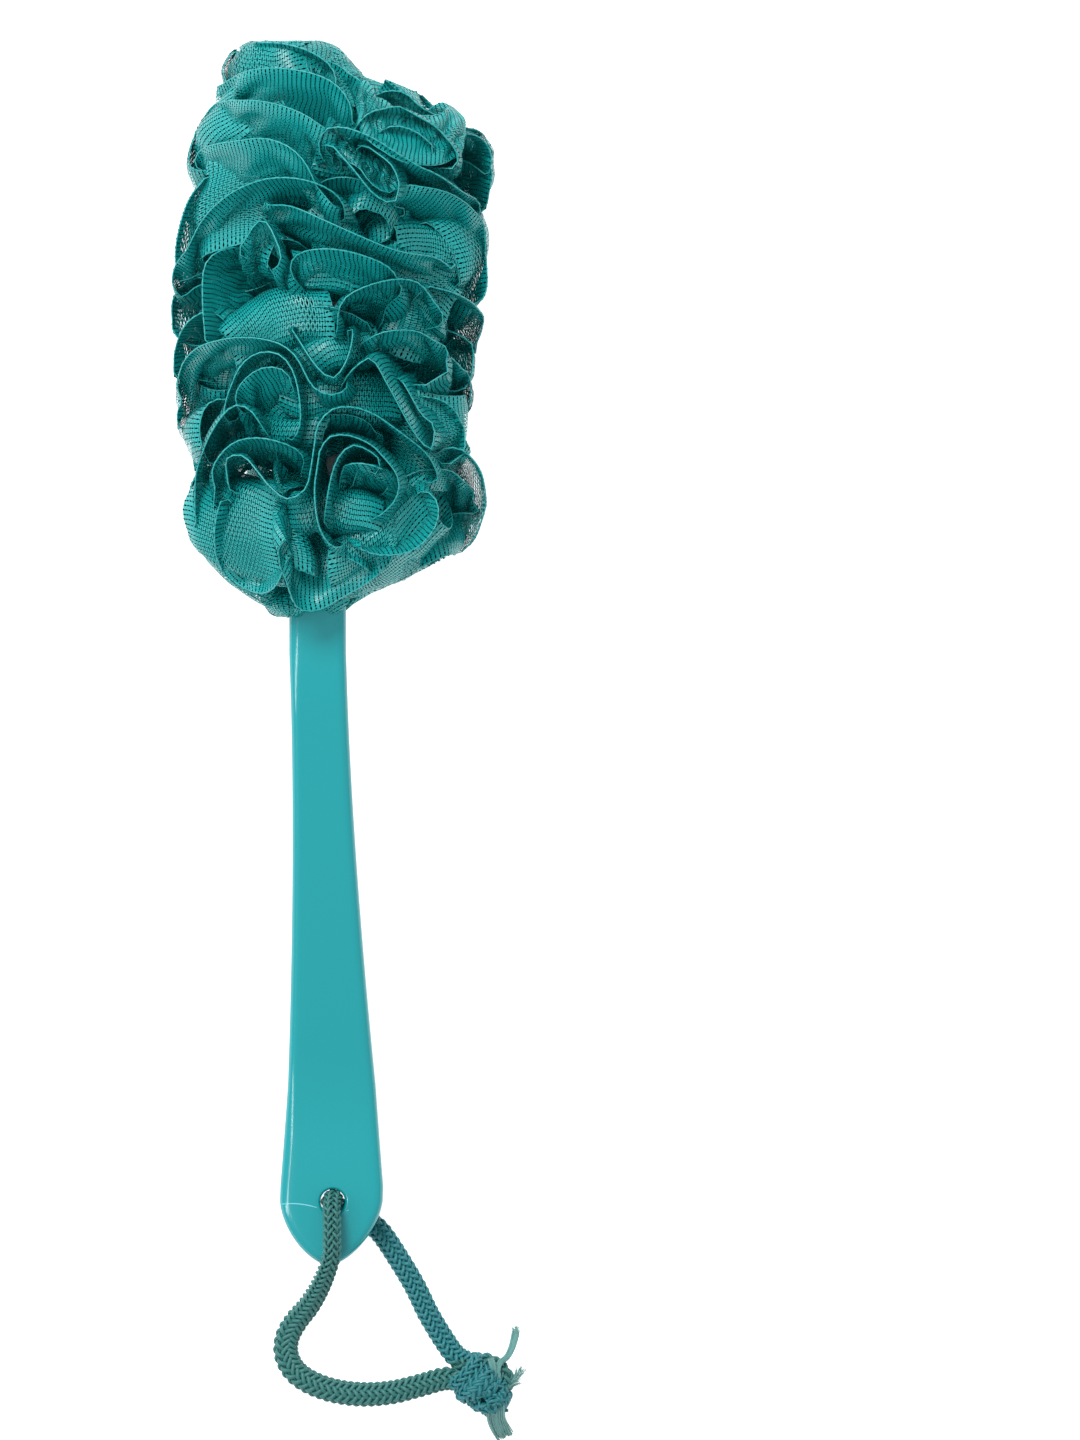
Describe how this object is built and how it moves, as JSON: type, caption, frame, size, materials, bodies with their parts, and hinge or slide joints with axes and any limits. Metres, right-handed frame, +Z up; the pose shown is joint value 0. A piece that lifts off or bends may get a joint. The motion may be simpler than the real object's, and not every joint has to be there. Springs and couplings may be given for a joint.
{
  "type": "loofah back scrubber",
  "caption": "Long plastic handle with a puff of gathered tube netting tied round its stem and a knotted hanging cord through the tail.",
  "frame": {"origin": "on the surface that the scrubber lies on, under the middle of the handle and netting, hanging cord left out", "axes": "+Y along the handle from its tail to the netting, +X across the handle, +Z up from the surface"},
  "size_m": [0.1048, 0.4195, 0.084],
  "materials": {
    "handle_plastic": "glossy moulded",
    "netting": "extruded polyethylene netting",
    "tie_cord": "twisted twine",
    "braided_cord": "matt hollow braid"
  },
  "bodies": {
    "scrubber": {"handle": "handle_plastic", "net_length_bottom": "netting", "net_length_lower": "netting", "net_length_upper": "netting", "net_length_top": "netting", "tie_cord_bottom": "tie_cord", "tie_cord_lower": "tie_cord", "tie_cord_upper": "tie_cord", "tie_cord_top": "tie_cord"},
    "hanging_cord": {"cord_front_leg": "braided_cord", "cord_back_leg": "braided_cord", "cord_knot": "braided_cord", "cord_end_lower": "braided_cord", "cord_end_upper": "braided_cord"}
  },
  "joints": [
    {"name": "cord_swing", "type": "hinge", "parent": "scrubber", "child": "hanging_cord", "pos_m": [0.0003, -0.1648, 0.01225], "axis": [0, 0, 1], "range_deg": [-80, 80]}
  ]
}
